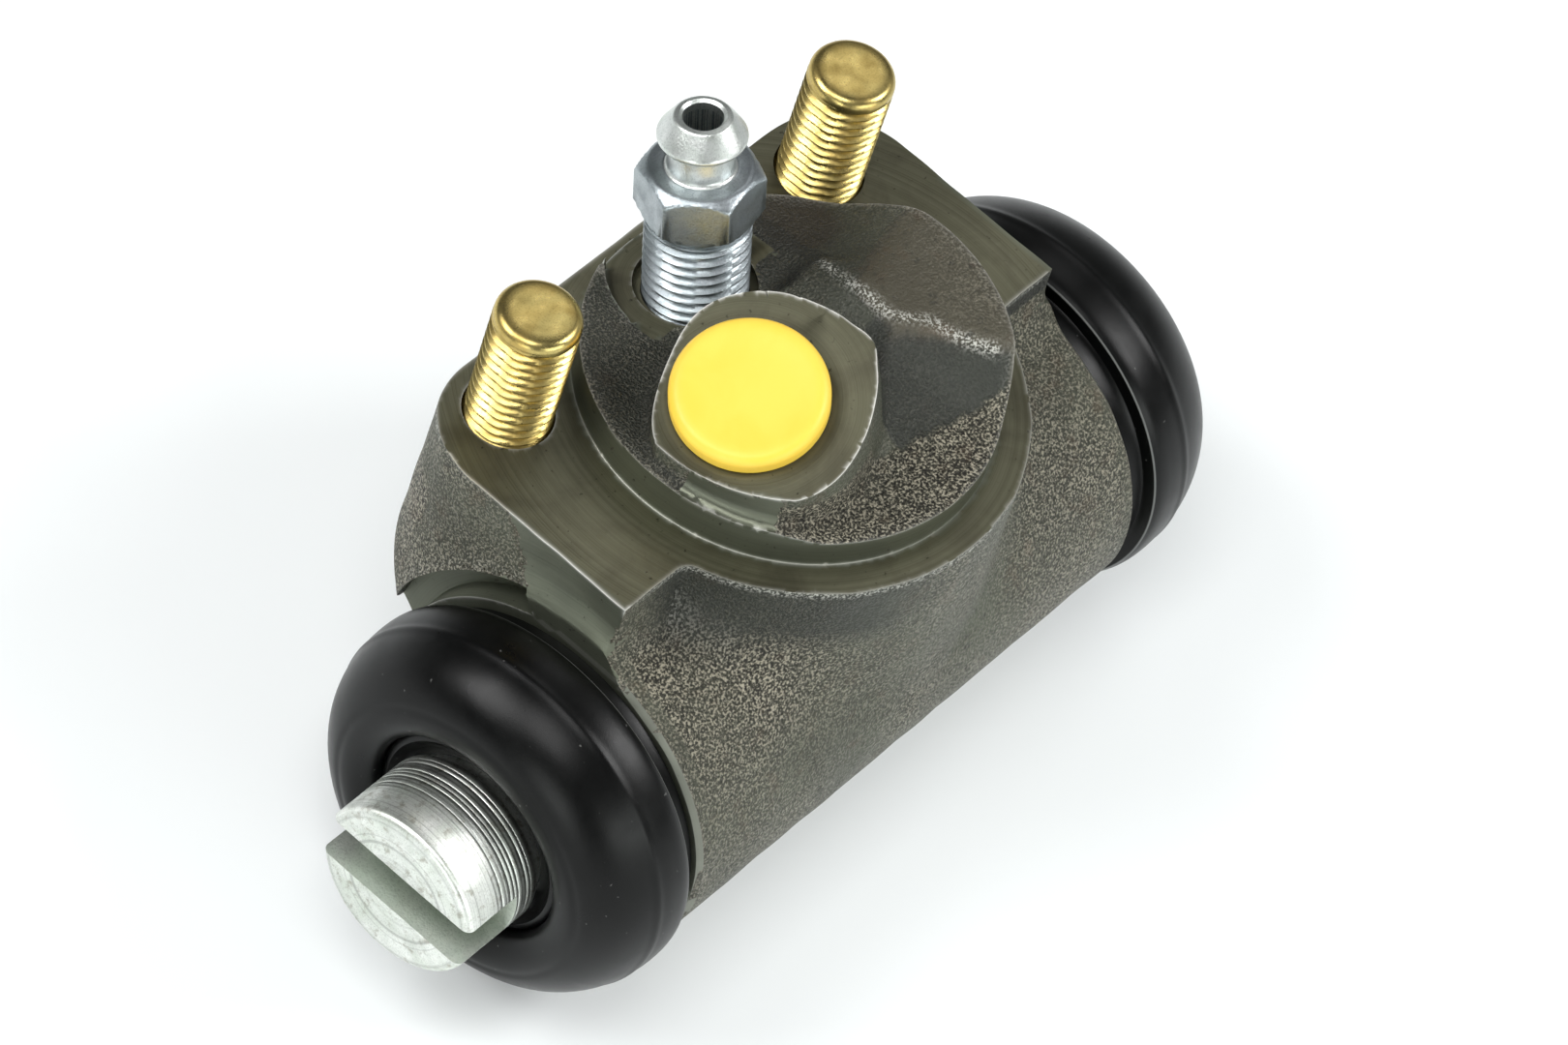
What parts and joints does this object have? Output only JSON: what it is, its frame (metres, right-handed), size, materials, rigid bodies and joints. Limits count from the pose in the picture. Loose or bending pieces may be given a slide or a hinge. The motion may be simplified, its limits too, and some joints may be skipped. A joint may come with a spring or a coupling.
{
  "type": "drum brake wheel cylinder",
  "caption": "Cast iron drum brake wheel cylinder with opposed slotted pistons under rubber boots, mounting studs, a round spigot, a leaning bleed screw and a plugged inlet.",
  "frame": {"origin": "middle of the locating spigot, on the plane of the mounting face", "axes": "+X along the bore to the right end, +Z out of the mounting face along the studs, +Y to the back, where the studs and the bleed screw are"},
  "size_m": [0.0986, 0.0445, 0.0662],
  "materials": {
    "cast_body": "as cast, dark grey-brown, machined on the mounting face, spigot and ends",
    "gold_zinc": "yellow zinc plate",
    "silver_zinc": "bright zinc plate over turned steel",
    "spring_steel": "plain steel",
    "black_rubber": "moulded, soft sheen",
    "yellow_plastic": "moulded polyethylene"
  },
  "bodies": {
    "cylinder": {"cylinder_body": "cast_body", "mounting_studs": "gold_zinc", "return_spring": "spring_steel", "left_boot": "black_rubber", "right_boot": "black_rubber"},
    "left_piston_set": {"left_piston": "silver_zinc", "left_cup_seal": "black_rubber", "left_cup_expander": "spring_steel"},
    "right_piston_set": {"right_piston": "silver_zinc", "right_cup_seal": "black_rubber", "right_cup_expander": "spring_steel"},
    "bleeder": {"bleed_screw": "silver_zinc"},
    "plug": {"inlet_plug": "yellow_plastic"}
  },
  "joints": [
    {"name": "left_piston_slide", "type": "slide", "parent": "cylinder", "child": "left_piston_set", "axis": [-1, 0, 0], "range_m": [-0.003, 0.006], "deforming": ["left_boot", "return_spring"]},
    {"name": "right_piston_slide", "type": "slide", "parent": "cylinder", "child": "right_piston_set", "axis": [1, 0, 0], "range_m": [-0.0012, 0.0078], "deforming": ["right_boot", "return_spring"]},
    {"name": "bleed_screw_turn", "type": "hinge", "parent": "cylinder", "child": "bleeder", "pos_m": [0, 0.0117, 0.004], "axis": [0, 0.2284, 0.9736], "range_deg": [0, 360]},
    {"name": "inlet_plug_pull", "type": "slide", "parent": "cylinder", "child": "plug", "axis": [-0.309, 0, 0.9511], "range_m": [0, 0.01]}
  ]
}
